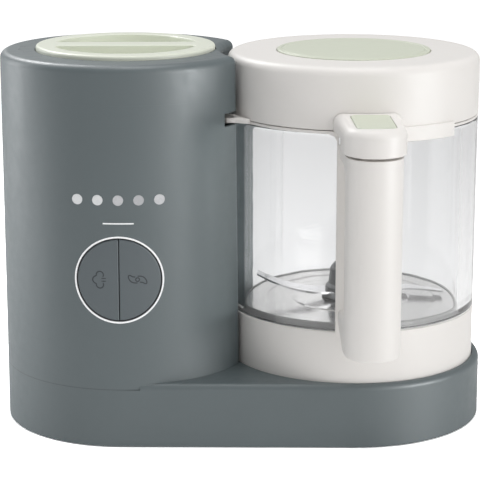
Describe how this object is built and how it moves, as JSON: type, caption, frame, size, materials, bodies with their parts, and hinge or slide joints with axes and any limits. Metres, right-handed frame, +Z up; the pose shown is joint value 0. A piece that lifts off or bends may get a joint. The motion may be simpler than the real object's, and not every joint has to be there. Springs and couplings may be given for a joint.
{
  "type": "baby food maker",
  "caption": "Steam cooker and blender for baby food: a round water-tank column and a glass jar with lid, handle and blade side by side on one rounded base.",
  "frame": {"origin": "centre of the bounding box, on the plane the feet stand on", "axes": "+Z up, +X from the column to the jar, -Y towards the front, where the controls and the handle are"},
  "size_m": [0.321, 0.2246, 0.252],
  "materials": {
    "body_grey": "fine matte",
    "cap_green": "satin",
    "white_plastic": "satin",
    "pad_green": "satin",
    "clear_glass": "polished",
    "blade_steel": "brushed",
    "floor_steel": "spun",
    "hub_dark": "satin",
    "light_white": "diffusing",
    "rubber_dark": "matte",
    "silicone": "matte",
    "tank_steel": "brushed",
    "heater_alloy": "cast",
    "zinc_steel": "plated",
    "motor_iron": "lacquered",
    "bearing_bronze": "sintered",
    "inner_plastic": "matte",
    "board_green": "solder mask",
    "part_dark": "moulded"
  },
  "bodies": {
    "base": {"base_housing": "body_grey", "bottom_cover": "inner_plastic", "rubber_feet": "rubber_dark", "bottom_screws": "zinc_steel", "cord_gland": "part_dark", "column_shell": "body_grey", "top_cover": "body_grey", "light_ring": "light_white", "button_frame": "part_dark", "status_lights": "light_white", "control_board": "board_green", "control_parts": "part_dark", "water_tank": "tank_steel", "heater_plate": "heater_alloy", "heater_element": "zinc_steel", "heat_cutouts": "part_dark", "tank_shelf": "inner_plastic", "steam_nozzle": "silicone", "motor_bracket": "zinc_steel", "motor_ends": "heater_alloy", "motor_can": "motor_iron", "stator_core": "motor_iron", "plain_bearings": "bearing_bronze", "motor_screws": "zinc_steel", "drive_belt": "rubber_dark", "bearing_housing": "heater_alloy", "lever_mount": "inner_plastic", "interlock_switch": "part_dark", "main_board": "board_green", "board_parts": "part_dark"},
    "cap_ring": {"cap_seal": "silicone"},
    "cap": {"tank_cap": "cap_green"},
    "steam_key": {"steam_button": "body_grey"},
    "blend_key": {"blend_button": "body_grey"},
    "rotor": {"motor_rotor": "motor_iron", "cooling_fan": "inner_plastic", "drive_pulley": "zinc_steel"},
    "drive": {"drive_shaft": "zinc_steel", "driven_pulley": "inner_plastic", "drive_coupling": "hub_dark"},
    "jar": {"jar_collar": "white_plastic", "floor_disc": "floor_steel", "floor_seal": "rubber_dark", "glass_jar": "clear_glass", "blade_bushing": "bearing_bronze", "handle_frame": "white_plastic", "handle_grip": "white_plastic", "handle_head": "white_plastic", "button_spring": "silicone"},
    "blades": {"blade_shaft": "blade_steel", "jar_coupling": "hub_dark", "blade_hub": "hub_dark", "blade": "blade_steel"},
    "release": {"release_button": "pad_green"},
    "lid_ring": {"lid_gasket": "silicone"},
    "lid": {"lid_shell": "white_plastic", "lid_insert": "pad_green", "lid_inner": "white_plastic"},
    "tongue": {"interlock_tongue": "white_plastic"}
  },
  "joints": [
    {"name": "cap_lift", "type": "slide", "parent": "base", "child": "cap_ring", "axis": [0, 0, 1], "range_m": [0, 0.05]},
    {"name": "cap_turn", "type": "hinge", "parent": "cap_ring", "child": "cap", "pos_m": [-0.078, 0.02449, 0.245], "axis": [0, 0, 1], "range_deg": [0, 45]},
    {"name": "steam_press", "type": "slide", "parent": "base", "child": "steam_key", "axis": [0.0419, 0.9991, 0], "range_m": [0, 0.0012], "stiffness_N_per_m": 900, "springref_m": -0.0006},
    {"name": "blend_press", "type": "slide", "parent": "base", "child": "blend_key", "axis": [0.0419, 0.9991, 0], "range_m": [0, 0.0012], "stiffness_N_per_m": 900, "springref_m": -0.0006},
    {"name": "motor_spin", "type": "hinge", "parent": "base", "child": "rotor", "pos_m": [-0.078, 0.02449, 0.08], "axis": [0, 0, 1], "continuous": true},
    {"name": "drive_spin", "type": "hinge", "parent": "base", "child": "drive", "pos_m": [0.0727, 0.02449, 0.03], "axis": [0, 0, 1], "continuous": true},
    {"name": "jar_lift", "type": "slide", "parent": "base", "child": "jar", "axis": [0, 0, 1], "range_m": [0, 0.22]},
    {"name": "blade_spin", "type": "hinge", "parent": "jar", "child": "blades", "pos_m": [0.0727, 0.02449, 0.085], "axis": [0, 0, 1], "continuous": true},
    {"name": "release_press", "type": "slide", "parent": "jar", "child": "release", "axis": [0, 0, -1], "range_m": [0, 0.0024], "stiffness_N_per_m": 700, "springref_m": -0.001, "deforming": ["button_spring"]},
    {"name": "lid_lift", "type": "slide", "parent": "jar", "child": "lid_ring", "axis": [0, 0, 1], "range_m": [0, 0.06]},
    {"name": "lid_turn", "type": "hinge", "parent": "lid_ring", "child": "lid", "pos_m": [0.0727, 0.02449, 0.23], "axis": [0, 0, 1], "range_deg": [-20, 0]},
    {"name": "tongue_swing", "type": "hinge", "parent": "base", "child": "tongue", "pos_m": [-0.022, -0.00301, 0.2078], "axis": [0, 0, 1], "range_deg": [-8, 0], "stiffness_Nm_per_rad": 0.05, "springref_deg": 8.59}
  ],
  "couplings": [
    {"joint": "drive_spin", "follows": "motor_spin", "ratio": 0.37931},
    {"joint": "blade_spin", "follows": "motor_spin", "ratio": 0.37931}
  ]
}
